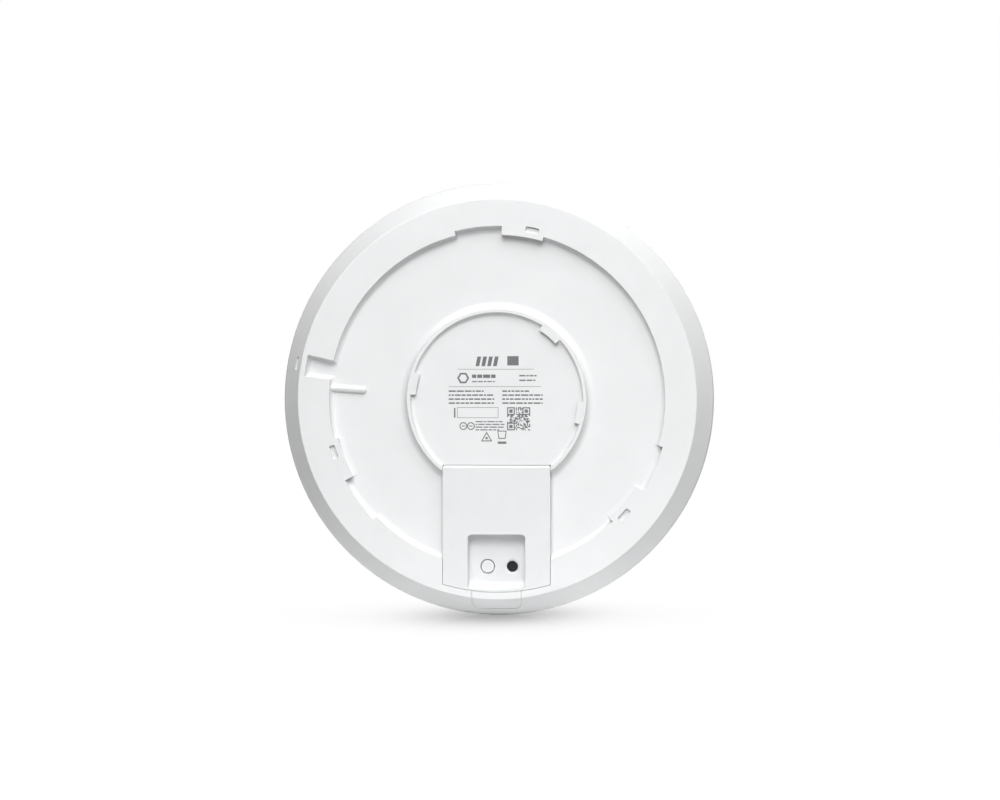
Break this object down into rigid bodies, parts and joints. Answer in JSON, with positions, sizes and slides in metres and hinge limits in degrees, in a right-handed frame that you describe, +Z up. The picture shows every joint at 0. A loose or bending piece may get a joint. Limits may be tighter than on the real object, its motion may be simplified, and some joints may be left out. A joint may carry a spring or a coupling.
{
  "type": "ceiling access point",
  "caption": "Round white ceiling access point with a recessed bayonet back, raised ring, hinged port cover with thumb scoop, cable tab, domed front and its electronics.",
  "frame": {"origin": "centre of the flat back band, in the plane that meets the ceiling or wall", "axes": "+Y from the back band to the dome's top, +X to the right and +Z up as seen from the back, with the port cover at the bottom"},
  "size_m": [0.244, 0.058, 0.244],
  "materials": {
    "housing_white": "fine matte texture",
    "radome_white": "satin",
    "cover_white": "fine matte texture",
    "button_white": "satin",
    "clear_guide": "frosted",
    "seal_grey": "matte",
    "steel": "satin",
    "screw_dark": "blackened",
    "spring_steel": "bright",
    "bush_black": "satin",
    "board_green": "solder mask",
    "brass": "turned",
    "spreader_aluminium": "cast",
    "pad_grey": "soft",
    "chip_black": "matte",
    "can_tin": "tinned",
    "moulded_black": "satin",
    "ferrite_grey": "sintered",
    "shield_steel": "bright tinned",
    "contact_gold": "plated",
    "plunger_black": "satin",
    "lamp_white": "gloss",
    "antenna_tin": "tinned",
    "holder_white": "matte"
  },
  "bodies": {
    "housing": {"rear_housing": "housing_white", "front_radome": "radome_white", "front_cap": "radome_white", "light_guide": "clear_guide", "rim_seal": "seal_grey", "bay_seal": "seal_grey", "hinge_pin": "steel", "main_board": "board_green", "board_standoffs": "brass", "board_screws": "steel", "heat_spreader": "spreader_aluminium", "thermal_pads": "pad_grey", "processor": "chip_black", "switch_chip": "chip_black", "memory_chips": "chip_black", "radio_chip_low_band": "chip_black", "radio_chip_high_band": "chip_black", "front_end_chips_low_band": "chip_black", "front_end_chips_high_band": "chip_black", "shield_can_low_band": "can_tin", "shield_can_high_band": "can_tin", "network_transformers": "moulded_black", "power_transformer": "ferrite_grey", "inductors": "ferrite_grey", "capacitors": "can_tin", "network_jack_left": "moulded_black", "network_jack_right": "moulded_black", "jack_shields": "shield_steel", "jack_contacts": "contact_gold", "reset_switch": "moulded_black", "status_lamps": "lamp_white", "antennas_low_band": "antenna_tin", "antennas_high_band": "antenna_tin", "antenna_holders": "holder_white"},
    "cover": {"port_cover": "cover_white", "screw_bush": "bush_black", "security_screw": "screw_dark", "button_guide": "cover_white", "button_spring": "spring_steel"},
    "button": {"reset_button": "button_white"},
    "plunger": {"switch_plunger": "plunger_black"},
    "tab": {"cable_tab": "housing_white"}
  },
  "joints": [
    {"name": "cover_hinge", "type": "hinge", "parent": "housing", "child": "cover", "pos_m": [0, 0.0016, -0.039], "axis": [-1, 0, 0], "range_deg": [0, 105]},
    {"name": "reset_press", "type": "slide", "parent": "cover", "child": "button", "axis": [0, 1, 0], "range_m": [0, 0.0008], "stiffness_N_per_m": 400, "springref_m": -0.001, "deforming": ["button_spring"]},
    {"name": "switch_travel", "type": "slide", "parent": "housing", "child": "plunger", "axis": [0, 1, 0], "range_m": [0, 0.0012]},
    {"name": "tab_out", "type": "slide", "parent": "housing", "child": "tab", "axis": [0, -1, 0], "range_m": [0, 0.025]}
  ],
  "couplings": [
    {"joint": "switch_travel", "follows": "reset_press", "ratio": 1}
  ]
}
